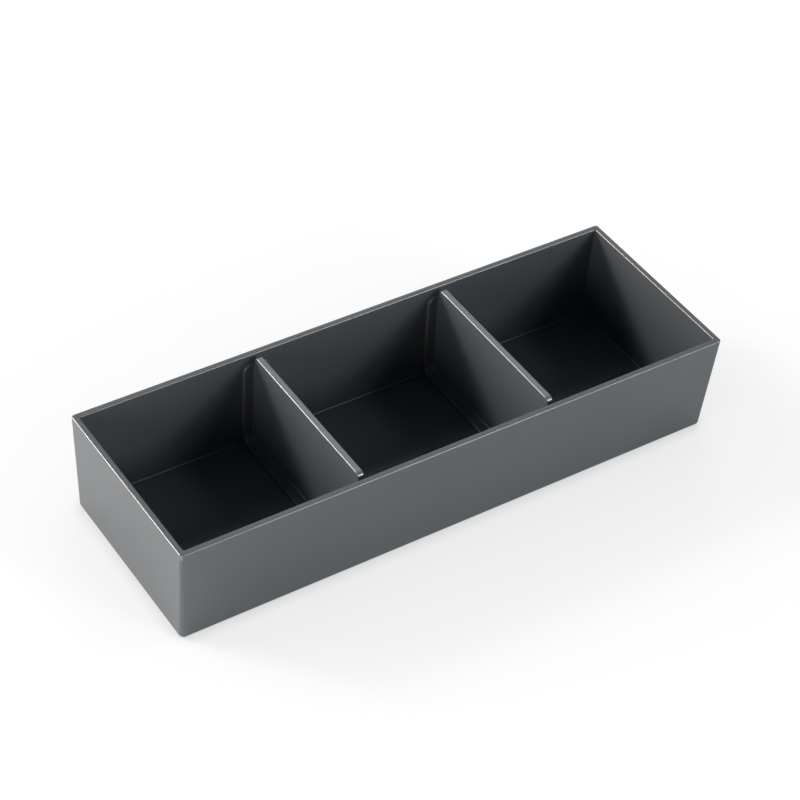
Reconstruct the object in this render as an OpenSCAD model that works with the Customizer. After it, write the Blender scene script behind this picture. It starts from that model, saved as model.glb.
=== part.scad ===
// Open drawer organiser box in moulded plastic, with two loose T-section dividers.
// Millimetres, +Z up, origin at the centre of the underside, length along X.
// The walls are drafted outwards. Each divider stands on the floor between the long
// walls: one flange runs up both ends and under the bottom of its panel as a single U.

/* [Box] */
// Length over the rim
box_l = 300; // [220:1:400]
// Width over the rim
box_w = 103; // [80:1:160]
// Height
box_h = 56; // [40:1:90]
// Wall thickness, measured level
wall_t = 3; // [2.4:0.1:4]
// Floor thickness
floor_t = 3; // [2:0.1:5]
// How far each wall leans outwards from the underside to the rim
lean_run = 1.8; // [0.6:0.1:3]

/* [Box edges] */
// Upright outer corner radius at the rim
rim_corner_r = 1.6; // [1.2:0.1:3]
// Upright outer corner radius at the underside
base_corner_r = 2.6; // [2.4:0.1:5]
// Rounding between the outer walls and the underside
base_edge_r = 2.2; // [0.6:0.1:2.3]
// Rounding on both edges of the rim
rim_edge_r = 0.5; // [0.2:0.1:0.8]
// Upright inner corner radius
inner_corner_r = 0.9; // [0.9:0.1:3]
// Fillet between the inner walls and the floor
floor_fillet_r = 0.8; // [0.3:0.1:0.8]

/* [Divider panels] */
// Where the left divider stands along the box
left_divider_x = -53.7; // [-80:0.1:-20]
// Where the right divider stands along the box
right_divider_x = 51.5; // [20:0.1:80]
// Panel thickness
panel_t = 3.4; // [2:0.1:4]
// How far the panel's top edge lies below the rim
panel_drop = 0.2; // [0:0.1:0.8]
// Space between the panel's ends and the walls at the rim, each side, when centred
panel_end_space = 2.4; // [2.2:0.1:2.7]
// Radius of the panel's two top corners
panel_corner_r = 2.8; // [1.5:0.1:3]
// Rounding along the panel's top edges
panel_edge_r = 0.5; // [0.2:0.1:0.8]

/* [Divider flange] */
// Flange width along the box
flange_w = 14.4; // [13:0.1:24]
// Flange thickness
flange_t = 2; // [1.8:0.1:2.2]
// How far the flange ends below the rim
flange_drop = 4.4; // [4:0.1:7]
// Corner radius at the flange's upper ends
flange_corner_r = 4; // [2:0.1:4]
// Rounding along the flange's open edges
flange_edge_r = 0.6; // [0.3:0.1:0.8]
// Inside radius where the flange turns from the floor up the wall
bend_r = 5.3; // [2:0.1:10]
// Fillet between the flange and the panel
root_r = 0.8; // [0.5:0.1:0.8]
// Running space between the flange and each long wall, when centred
wall_gap = 0.7; // [0.65:0.05:0.9]
// How far the dividers stand back from the middle, towards the back wall
set_back = 0.6; // [0:0.05:0.6]

/* [Hidden] */

// Circle facets, and steps in a quarter turn round the box corners and along its edges
$fn = 48;
corner_steps = 8;
edge_steps = 5;
// The legs stand this much proud of the bends all round, so that both fuse on clear edges
seam = 0.01;
// How many degrees the bends run on into the legs
bend_pass = 0.5;

shell_colour = [0.26, 0.27, 0.28];
divider_colour = [0.3, 0.31, 0.32];

quarter = 90;
half_turn = 180;
lean = atan(lean_run / box_h);
flange_top = box_h - flange_drop;
panel_end = box_w / 2 - wall_t - panel_end_space;
head_y = panel_end - panel_corner_r;
head_z = box_h - panel_drop - panel_corner_r;
// How deep the panel reaches into the flange
reach = flange_t / 2;
web_half = flange_back(flange_top) - reach;
root_half = panel_t / 2 + root_r;
// The upper ends keep enough width for the panel's root
tip_r = min(flange_corner_r, flange_w / 2 - root_half - flange_edge_r);
tip_half = flange_w / 2 + seam - tip_r;
bend_outer_r = bend_r + flange_t;
bend_z = floor_t + bend_outer_r;
bend_y = flange_back(bend_z) - bend_outer_r / cos(lean);
leg_len = (flange_top - bend_z) / cos(lean) + bend_outer_r * tan(lean);

// Inset of the outer wall from the rim outline at height z
function lean_inset(z) = lean_run * (1 - z / box_h);

// Level of a rounded rectangle, inset from the rim outline, as points round the box
function level(inset, r, z) = [
    for (turn = [0 : 3], step = [0 : corner_steps])
        let (
            a = quarter * (turn + step / corner_steps),
            side_x = (turn == 0 || turn == 3) ? 1 : -1,
            side_y = (turn < 2) ? 1 : -1
        )
        [
            side_x * (box_l / 2 - inset - r) + r * cos(a),
            side_y * (box_w / 2 - inset - r) + r * sin(a),
            z
        ]
];

// The levels climb the outside, cross the rim and go down the inside to the floor
function base_levels() = [
    for (step = [0 : corner_steps])
        let (
            a = quarter * step / corner_steps,
            side = base_edge_r * (1 - sin(a)),
            z = base_edge_r * (1 - cos(a))
        )
        level(lean_inset(base_edge_r) + side, base_corner_r - side, z)
];

function outer_rim_levels() = [
    for (step = [0 : edge_steps])
        let (
            a = quarter * step / edge_steps,
            side = rim_edge_r * (1 - cos(a))
        )
        level(side, rim_corner_r - side, box_h - rim_edge_r * (1 - sin(a)))
];

function inner_rim_levels() = [
    for (step = [0 : edge_steps])
        let (
            a = quarter * (1 - step / edge_steps),
            side = rim_edge_r * (1 - cos(a))
        )
        level(wall_t - side, inner_corner_r + side, box_h - rim_edge_r * (1 - sin(a)))
];

function floor_levels() = [
    for (step = [0 : edge_steps])
        let (
            a = quarter * step / edge_steps,
            side = floor_fillet_r * (1 - cos(a)),
            z = floor_t + floor_fillet_r * (1 - sin(a)),
            root_inset = wall_t + lean_inset(floor_t + floor_fillet_r)
        )
        level(root_inset + side, inner_corner_r - side, z)
];

// Where the flange's back face stands at height z: the inner wall less the running space
function flange_back(z) = box_w / 2 - wall_t - lean_inset(z) - wall_gap;

// Solid skin over a list of closed loops that all have the same number of points
module loft(loops) {
    n = len(loops[0]);
    last = len(loops) - 1;
    sides = [
        for (k = [0 : last - 1], i = [0 : n - 1])
            let (j = (i + 1) % n)
            [k * n + i, (k + 1) * n + i, (k + 1) * n + j, k * n + j]
    ];
    first_cap = [for (i = [0 : n - 1]) i];
    last_cap = [for (i = [n - 1 : -1 : 0]) last * n + i];
    polyhedron(
        points = [for (loop = loops) each loop],
        faces = concat([first_cap], sides, [last_cap]),
        convexity = 6
    );
}

// Flange section, back on the X axis: a strip with both open edges rounded
module strip_section(proud) {
    half = flange_w / 2 + proud;
    top = flange_t + proud;
    open_half = half - flange_edge_r;
    translate([-half, -proud])
        square([2 * half, top - flange_edge_r + proud]);
    translate([-open_half, -proud])
        square([2 * open_half, top + proud]);
    for (side = [-1, 1])
        translate([side * open_half, top - flange_edge_r])
            circle(r = flange_edge_r);
}

// Root of the panel on the strip, with a fillet on both sides
module root_section(proud) {
    half = panel_t / 2 + proud;
    fillet_y = flange_t + proud + root_r;
    difference() {
        translate([-half - root_r, reach])
            square([2 * (half + root_r), fillet_y - reach]);
        for (side = [-1, 1])
            translate([side * (half + root_r), fillet_y])
                circle(r = root_r);
    }
    translate([-half, reach])
        square([2 * half, fillet_y + root_r - reach]);
}

module flange_section(proud = 0) {
    strip_section(proud);
    root_section(proud);
}

// Along the floor
module foot() {
    translate([0, 0, floor_t])
        rotate([quarter, 0, 0])
            linear_extrude(height = 2 * bend_y, center = true)
                flange_section();
}

// From the floor up to the lean of the wall, round the X axis
module bend() {
    rotate([quarter, 0, quarter])
        rotate([0, 0, -quarter])
            rotate_extrude(angle = quarter - lean + bend_pass)
                translate([bend_outer_r, 0])
                    rotate(quarter)
                        flange_section();
}

// Edge of the strip's upper end, from the middle of its corner radius outwards
module tip_section() {
    t = flange_t + seam;
    translate([0, -seam])
        square([tip_r, t - flange_edge_r + seam]);
    translate([0, -seam])
        square([tip_r - flange_edge_r, t + seam]);
    translate([tip_r - flange_edge_r, t - flange_edge_r])
        circle(r = flange_edge_r);
}

// Upper end of a leg: two round corners with a straight edge between them
module tip() {
    for (side = [0, 1])
        mirror([side, 0, 0])
            translate([tip_half, 0, 0])
                rotate([-quarter, 0, 0])
                    rotate([0, 0, -quarter])
                        rotate_extrude(angle = quarter)
                            tip_section();
    rotate([0, -quarter, 0])
        linear_extrude(height = 2 * tip_half, center = true)
            tip_section();
    linear_extrude(height = tip_r - flange_edge_r)
        root_section(seam);
}

// Up the wall, from the end of the bend
module leg() {
    rotate([-lean, 0, 0])
        translate([0, bend_outer_r, 0])
            rotate([0, 0, half_turn]) {
                linear_extrude(height = leg_len - tip_r)
                    flange_section(seam);
                translate([0, 0, leg_len - tip_r])
                    tip();
            }
}

// The flange is one strip: down a wall, along the floor and up the other wall
module u_flange() {
    foot();
    for (side = [0, 1])
        mirror([0, side, 0])
            translate([0, bend_y, bend_z]) {
                bend();
                leg();
            }
}

// Rounded upper edge of the panel, from the middle of its corner radius outwards
module head_section() {
    flat_half = panel_t / 2 - panel_edge_r;
    translate([0, -flat_half])
        square([panel_corner_r, 2 * flat_half]);
    translate([0, -panel_t / 2])
        square([panel_corner_r - panel_edge_r, panel_t]);
    for (side = [-1, 1])
        translate([panel_corner_r - panel_edge_r, side * flat_half])
            circle(r = panel_edge_r);
}

// Top of the panel: round corners and a straight edge
module panel_head() {
    translate([0, 0, head_z]) {
        for (side = [0, 1])
            mirror([0, side, 0])
                translate([0, head_y, 0])
                    rotate([quarter, 0, quarter])
                        rotate_extrude(angle = quarter)
                            head_section();
        rotate([-quarter, -quarter, 0])
            linear_extrude(height = 2 * head_y, center = true)
                head_section();
    }
}

// Outline of the panel inside the U, reaching half-way into the flange all round
module web_outline() {
    hull() {
        for (side = [-1, 1])
            translate([side * bend_y, bend_z])
                circle(r = bend_outer_r - reach);
        translate([-web_half, flange_top - reach])
            square([2 * web_half, reach]);
    }
}

// Flat of the panel, up to where its top corners begin
module panel_web() {
    rotate([quarter, 0, quarter])
        linear_extrude(height = panel_t, center = true) {
            web_outline();
            translate([-panel_end, flange_top - reach])
                square([2 * panel_end, head_z - flange_top + reach]);
        }
}

module divider() {
    u_flange();
    panel_web();
    panel_head();
}

module tray() {
    color(shell_colour)
        loft(concat(base_levels(), outer_rim_levels(), inner_rim_levels(), floor_levels()));
}

module left_divider() {
    color(divider_colour)
        translate([left_divider_x, set_back, 0])
            divider();
}

module right_divider() {
    color(divider_colour)
        translate([right_divider_x, set_back, 0])
            divider();
}

tray();
left_divider();
right_divider();
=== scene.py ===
"""Looks for the drawer organiser box: satin anthracite plastic, a white studio and the camera.

The three CAD pieces keep their shapes. Metres and degrees throughout."""

import math

import bpy
from mathutils import Matrix, Vector


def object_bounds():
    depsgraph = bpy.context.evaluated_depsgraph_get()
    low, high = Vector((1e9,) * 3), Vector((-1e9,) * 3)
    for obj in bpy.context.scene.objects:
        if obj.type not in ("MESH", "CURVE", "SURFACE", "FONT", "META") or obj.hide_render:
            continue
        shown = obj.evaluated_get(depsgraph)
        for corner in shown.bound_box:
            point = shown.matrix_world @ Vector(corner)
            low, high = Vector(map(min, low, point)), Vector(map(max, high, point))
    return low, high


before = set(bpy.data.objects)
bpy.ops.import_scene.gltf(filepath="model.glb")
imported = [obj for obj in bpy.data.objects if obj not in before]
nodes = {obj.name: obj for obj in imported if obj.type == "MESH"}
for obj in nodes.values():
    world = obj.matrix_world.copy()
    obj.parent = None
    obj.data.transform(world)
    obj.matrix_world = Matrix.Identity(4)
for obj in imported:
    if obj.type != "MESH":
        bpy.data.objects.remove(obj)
cad_low, cad_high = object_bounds()
scene = bpy.context.scene


# ---------------------------------------------------------------- camera
def direction(azimuth, elevation):
    """Unit vector; azimuth runs from +X towards +Y."""
    a, e = math.radians(azimuth), math.radians(elevation)
    return Vector((math.cos(a) * math.cos(e), math.sin(a) * math.cos(e), math.sin(e)))


def aim_camera(target, distance, azimuth, elevation, roll, lens):
    """Camera at a distance from a target; roll turns the picture."""
    back = direction(azimuth, elevation)
    data = bpy.data.cameras.new("camera")
    data.lens = lens
    data.sensor_width = 36.0
    data.clip_start, data.clip_end = 0.01, 50.0
    camera = bpy.data.objects.new("camera", data)
    scene.collection.objects.link(camera)
    turn = (-back).to_track_quat("-Z", "Y").to_matrix().to_4x4()
    turn = turn @ Matrix.Rotation(math.radians(roll), 4, "Z")
    camera.matrix_world = Matrix.Translation(Vector(target) + back * distance) @ turn
    scene.camera = camera


aim_camera(
    target=(0.00703, 0.01278, 0.028),
    distance=1.17468,
    azimuth=233.492,
    elevation=41.976,
    roll=5.268,
    lens=109.33,
)


# ---------------------------------------------------------------- node helpers
OCCLUSION_SAMPLES = 16
WHITE = (1.0, 1.0, 1.0)


class Graph:
    """A material or world node tree with short calls for the nodes used here."""

    def __init__(self, tree):
        self.tree = tree
        tree.nodes.clear()

    def node(self, kind, **values):
        """New node with the named inputs set; an underscore stands for a space."""
        node = self.tree.nodes.new(kind)
        for name, value in values.items():
            node.inputs[name.replace("_", " ")].default_value = value
        return node

    def link(self, source, target):
        self.tree.links.new(source, target)

    def ramp(self, source, low, high, out_low, out_high):
        """Map a range of values to another, clamped."""
        node = self.node(
            "ShaderNodeMapRange", From_Min=low, From_Max=high, To_Min=out_low, To_Max=out_high
        )
        self.link(source, node.inputs["Value"])
        return node.outputs["Result"]

    def split(self, vector):
        """Outputs X, Y and Z of a vector."""
        node = self.node("ShaderNodeSeparateXYZ")
        self.link(vector, node.inputs["Vector"])
        return node.outputs

    def math(self, operation, *sources):
        """One Math node on one or two sockets."""
        node = self.node("ShaderNodeMath")
        node.operation = operation
        for slot, source in zip(node.inputs, sources):
            self.link(source, slot)
        return node.outputs["Value"]

    def blend(self, factor, first, number):
        """From a socket's value to a number, by a factor."""
        node = self.node("ShaderNodeMix")
        node.data_type = "FLOAT"
        self.link(factor, node.inputs["Factor"])
        self.link(first, node.inputs["A"])
        node.inputs["B"].default_value = number
        return node.outputs["Result"]

    def mix(self, factor, first, second):
        """Colour mix by a factor; the first colour is three numbers or a socket."""
        node = self.node("ShaderNodeMix")
        node.data_type = "RGBA"
        first_colour, second_colour = (s for s in node.inputs if s.type == "RGBA")
        self.link(factor, node.inputs["Factor"])
        if isinstance(first, bpy.types.NodeSocket):
            self.link(first, first_colour)
        else:
            first_colour.default_value = (*first, 1.0)
        second_colour.default_value = (*second, 1.0)
        return next(s for s in node.outputs if s.type == "RGBA")

    def occlusion(self, distance):
        """How open the place is, from 0 to 1, within a distance."""
        node = self.node("ShaderNodeAmbientOcclusion", Distance=distance)
        node.samples = OCCLUSION_SAMPLES
        return node.outputs["AO"]

    def noise(self, coordinates, scale, detail):
        node = self.node("ShaderNodeTexNoise", Scale=scale, Detail=detail, Roughness=0.5)
        self.link(coordinates, node.inputs["Vector"])
        return node.outputs["Fac"]


def scaled(colour, factor):
    return [part * factor for part in colour]


def new_material(name):
    """Material with an empty graph, and its output's surface socket."""
    material = bpy.data.materials.new(name)
    material.use_nodes = True
    graph = Graph(material.node_tree)
    return material, graph, graph.node("ShaderNodeOutputMaterial").inputs["Surface"]


# ---------------------------------------------------------------- plastic
BOX_COLOUR = (0.075, 0.079, 0.083)
DIVIDER_COLOUR = (0.080, 0.084, 0.088)

# Moulded finish: its roughness, and how far the flow clouds move the roughness and the tone
ROUGHNESS = 0.36
ROUGHNESS_SPREAD = 0.02
TONE_SPREAD = 0.06
CLOUD_SCALE, CLOUD_DETAIL = 14.0, 3.0
CLOUD_LOW, CLOUD_HIGH = 0.3, 0.7
# Fine grain: its size, its height in metres, and its strength as moulded and on rubbed edges
GRAIN_SCALE, GRAIN_DETAIL = 2600.0, 2.0
GRAIN_HEIGHT = 0.00002
GRAIN, GRAIN_RUBBED = 0.25, 0.03

# Edges are smooth under a polish and painted paler as a highlight; flat tops are scuffed matt
# and painted paler as a sheen
PAINTED_EDGE_HIGHLIGHT = 1.4
EDGE_ROUGHNESS = 0.22
EDGE_POLISH_ROUGHNESS, EDGE_POLISH_IOR = 0.3, 1.75
TOP_ROUGHNESS = 0.5
# An edge's largest normal part runs from about 0.71 half-way round to 1 on the flats
EDGE_FULL, EDGE_NONE = 0.80, 0.985
# Heights over which the edges' polish and painted highlight and the tops' matt finish and
# painted sheen come in, and the edges' share below them
RIM = cad_high[2]
EDGE_SHEEN_AND_WEAR_FROM, EDGE_SHEEN_AND_WEAR_FULL = RIM - 0.0035, RIM - 0.0025
TOP_FROM, TOP_FULL = RIM - 0.0007, RIM - 0.0003
LOW_EDGE_SHEEN_AND_WEAR = 0.1


def wear_and_sheen_masks(graph, place):
    """Masks for the rounded edges and for the flat faces on top, which carry both their finish
    and their painted highlight and sheen.

    The edges go by how far the surface is turned from all three axes: 1 near the rim, little
    on lower ones. The tops go by height alone."""
    facing = graph.split(place.outputs["Normal"])
    parts = [graph.math("ABSOLUTE", facing[axis]) for axis in "XYZ"]
    largest = graph.math("MAXIMUM", graph.math("MAXIMUM", *parts[:2]), parts[2])
    turned = graph.ramp(largest, EDGE_FULL, EDGE_NONE, 1.0, 0.0)
    height = graph.split(place.outputs["Object"])["Z"]
    share = graph.ramp(height, EDGE_SHEEN_AND_WEAR_FROM, EDGE_SHEEN_AND_WEAR_FULL, LOW_EDGE_SHEEN_AND_WEAR, 1.0)
    edges = graph.math("MULTIPLY", turned, share)
    tops = graph.ramp(height, TOP_FROM, TOP_FULL, 0.0, 1.0)
    return edges, tops


def plastic(name, colour, painted_top_sheen):
    """Moulded satin plastic: fine grain, faint flow clouds, polished edges and matt tops, both
    painted paler as highlight and sheen.
    """
    material, graph, surface = new_material(name)
    shader = graph.node(
        "ShaderNodeBsdfPrincipled",
        IOR=1.5,
        Coat_Roughness=EDGE_POLISH_ROUGHNESS,
        Coat_IOR=EDGE_POLISH_IOR,
    )
    graph.link(shader.outputs["BSDF"], surface)
    place = graph.node("ShaderNodeTexCoord")
    where = place.outputs["Object"]
    flow = graph.noise(where, CLOUD_SCALE, CLOUD_DETAIL)
    clouds = graph.ramp(flow, CLOUD_LOW, CLOUD_HIGH, 0.0, 1.0)
    edges, tops = wear_and_sheen_masks(graph, place)

    dark, light = scaled(colour, 1 - TONE_SPREAD), scaled(colour, 1 + TONE_SPREAD)
    tone = graph.mix(clouds, dark, light)
    # Painted light: the flat tops are lightened as a painted sheen, the rounded edges as a
    # painted highlight
    top_sheen_tone = graph.mix(tops, tone, scaled(colour, painted_top_sheen))
    edge_highlight_tone = graph.mix(edges, top_sheen_tone, scaled(colour, PAINTED_EDGE_HIGHLIGHT))
    graph.link(edge_highlight_tone, shader.inputs["Base Color"])

    smooth, rough = ROUGHNESS - ROUGHNESS_SPREAD, ROUGHNESS + ROUGHNESS_SPREAD
    moulded = graph.ramp(clouds, 0.0, 1.0, smooth, rough)
    matt = graph.blend(tops, moulded, TOP_ROUGHNESS)
    graph.link(graph.blend(edges, matt, EDGE_ROUGHNESS), shader.inputs["Roughness"])
    graph.link(edges, shader.inputs["Coat Weight"])

    bump = graph.node("ShaderNodeBump", Distance=GRAIN_HEIGHT)
    strength = graph.ramp(edges, 0.0, 1.0, GRAIN, GRAIN_RUBBED)
    graph.link(strength, bump.inputs["Strength"])
    graph.link(graph.noise(where, GRAIN_SCALE, GRAIN_DETAIL), bump.inputs["Height"])
    graph.link(bump.outputs["Normal"], shader.inputs["Normal"])
    return material


tray = nodes["tray"]
# The flat tops get a painted sheen: their colour is lightened by the given factor
tray.data.materials[0] = plastic("box_plastic", BOX_COLOUR, painted_top_sheen=1.3)
divider_plastic = plastic("divider_plastic", DIVIDER_COLOUR, painted_top_sheen=2.1)
for name in ("left_divider", "right_divider"):
    nodes[name].data.materials[0] = divider_plastic


# ---------------------------------------------------------------- rounded edges of the box
# Facets that meet at up to this angle belong to one rounded edge
FACET_ANGLE = 30.0
WELD_DISTANCE = 2e-6


def soft_edges():
    """Node group that shades the facets of rounded edges as one smooth surface."""
    tree = bpy.data.node_groups.new("soft_edges", "GeometryNodeTree")
    for way in ("INPUT", "OUTPUT"):
        tree.interface.new_socket("Geometry", in_out=way, socket_type="NodeSocketGeometry")
    start = tree.nodes.new("NodeGroupInput")
    weld = tree.nodes.new("GeometryNodeMergeByDistance")
    weld.inputs["Distance"].default_value = WELD_DISTANCE
    clear = tree.nodes.new("GeometryNodeRemoveAttribute")
    clear.inputs["Name"].default_value = "custom_normal"
    faces = tree.nodes.new("GeometryNodeSetShadeSmooth")
    faces.domain = "FACE"
    edges = tree.nodes.new("GeometryNodeSetShadeSmooth")
    edges.domain = "EDGE"
    angle = tree.nodes.new("GeometryNodeInputMeshEdgeAngle")
    gentle = tree.nodes.new("FunctionNodeCompare")
    gentle.data_type, gentle.operation = "FLOAT", "LESS_EQUAL"
    gentle.inputs["B"].default_value = math.radians(FACET_ANGLE)
    end = tree.nodes.new("NodeGroupOutput")
    tree.links.new(angle.outputs["Unsigned Angle"], gentle.inputs["A"])
    tree.links.new(gentle.outputs["Result"], edges.inputs["Shade Smooth"])
    steps = (start, weld, clear, faces, edges, end)
    for before, after in zip(steps, steps[1:]):
        tree.links.new(before.outputs["Geometry"], after.inputs["Geometry"])
    return tree


tray.modifiers.new("soft_edges", "NODES").node_group = soft_edges()
weighted = tray.modifiers.new("weighted_normals", "WEIGHTED_NORMAL")
weighted.mode = "FACE_AREA"
weighted.weight = 100
weighted.keep_sharp = True


# ---------------------------------------------------------------- floor and light
# Half the floor's side, and how white its paper is
FLOOR_HALF = 6.0
PAPER = 0.80
# Share of the floor's real light and shadow that the camera sees, and the glow added to it
REAL_SHARE = 0.25
GLOW = 0.83
# Reach and depth of the painted shade that darkens the glow round the object, and of the
# painted contact shadow, a dark line at its base
WIDE_REACH, WIDE_SHADE = 0.15, 0.22
CONTACT_REACH, CONTACT_SHADE = 0.006, 0.14
# The glow in reflections: its strength, its share next to the object, where a painted shade
# dims it, and the openness of the floor at which that share and the full strength are reached
MIRRORED_GLOW, MIRRORED_NEAR = 0.63, 0.35
NEAR_OPEN, FAR_OPEN = 0.5, 0.95


def studio_floor():
    """White table top.

    The camera sees part of its real light and shadow and a white glow, which a painted shadow
    from occlusion darkens near the object. Reflections see a glow too, and all other rays
    plain white paper."""
    mesh = bpy.data.meshes.new("floor")
    signs = ((-1, -1), (1, -1), (1, 1), (-1, 1))
    corners = [(x * FLOOR_HALF, y * FLOOR_HALF, 0) for x, y in signs]
    mesh.from_pydata(corners, [], [(0, 1, 2, 3)])
    floor = bpy.data.objects.new("floor", mesh)
    scene.collection.objects.link(floor)
    material, graph, surface = new_material("floor_white")
    seen = graph.node("ShaderNodeLightPath")
    camera = seen.outputs["Is Camera Ray"]
    diffuse = graph.node("ShaderNodeBsdfDiffuse")
    paper = graph.mix(camera, scaled(WHITE, PAPER), scaled(WHITE, PAPER * REAL_SHARE))
    graph.link(paper, diffuse.inputs["Color"])
    wide = graph.occlusion(WIDE_REACH)
    close = graph.occlusion(CONTACT_REACH)
    # Painted shadow: occlusion darkens the camera's glow round the object and in a line along
    # its base
    contact = graph.ramp(close, NEAR_OPEN, 1.0, 1.0 - CONTACT_SHADE, 1.0)
    shaded = graph.ramp(wide, 0.0, 1.0, GLOW * (1.0 - WIDE_SHADE), GLOW)
    # Painted shade: the glow that reflections see is dimmed next to the object
    dim = MIRRORED_GLOW * MIRRORED_NEAR
    mirrored = graph.ramp(wide, NEAR_OPEN, FAR_OPEN, dim, MIRRORED_GLOW)
    seen_glow = graph.math("MULTIPLY", contact, shaded)
    camera_part = graph.math("MULTIPLY", camera, seen_glow)
    gloss_part = graph.math("MULTIPLY", seen.outputs["Is Glossy Ray"], mirrored)
    light = graph.node("ShaderNodeEmission")
    graph.link(graph.math("ADD", camera_part, gloss_part), light.inputs["Strength"])
    both = graph.node("ShaderNodeAddShader")
    graph.link(diffuse.outputs["BSDF"], both.inputs[0])
    graph.link(light.outputs["Emission"], both.inputs[1])
    graph.link(both.outputs["Shader"], surface)
    mesh.materials.append(material)


def studio_room(strength, colour):
    """Dim, even room light; the camera sees the surroundings as white."""
    world = bpy.data.worlds.new("studio")
    world.use_nodes = True
    scene.world = world
    graph = Graph(world.node_tree)
    surface = graph.node("ShaderNodeOutputWorld").inputs["Surface"]
    camera = graph.node("ShaderNodeLightPath").outputs["Is Camera Ray"]
    sky = graph.node("ShaderNodeBackground")
    graph.link(graph.ramp(camera, 0.0, 1.0, strength, 1.0), sky.inputs["Strength"])
    graph.link(graph.mix(camera, colour, WHITE), sky.inputs["Color"])
    graph.link(sky.outputs["Background"], surface)


def softbox(name, azimuth, elevation, width, strength, colour, distance=None):
    """Round softbox, far away or at a distance, its width in degrees.

    Its strength is what reaches the middle of the box."""
    way = direction(azimuth, elevation)
    data = bpy.data.lights.new(name, "SUN" if distance is None else "AREA")
    data.color = colour
    lamp = bpy.data.objects.new(name, data)
    scene.collection.objects.link(lamp)
    if distance is None:
        data.energy = strength
        data.angle = math.radians(width)
    else:
        data.energy = strength * math.pi * distance**2
        data.shape = "DISK"
        data.size = 2.0 * distance * math.tan(math.radians(width / 2))
        lamp.location = way * distance
        lamp.visible_camera = False
    lamp.rotation_mode = "QUATERNION"
    lamp.rotation_quaternion = way.to_track_quat("Z", "Y")


WARM = (1.02, 1.0, 0.975)
COOL = (0.945, 1.0, 1.06)
COOL_ROOM = (0.84, 1.0, 1.24)
ROOM_STRENGTH = 0.07

studio_floor()
studio_room(ROOM_STRENGTH, COOL_ROOM)
# Azimuth, elevation, width, strength and colour
softbox("back_left_wall", 130, 18, 44, 3.2, WARM)
softbox("back_left_key", 132, 29, 9, 1.1, WARM)
softbox("left_wall", 196, 9, 40, 2.0, WARM, distance=0.95)
softbox("front_right_softbox", 300, 15, 38, 1.1, COOL)
softbox("front_right_key", 299, 20, 10, 0.6, COOL)
softbox("front_right_high", 304, 37, 8, 0.15, COOL)
softbox("back_right_fill", 58, 31, 24, 0.44, WARM)
softbox("right_high", 345, 42, 24, 0.28, COOL)

scene.view_settings.view_transform = "Standard"
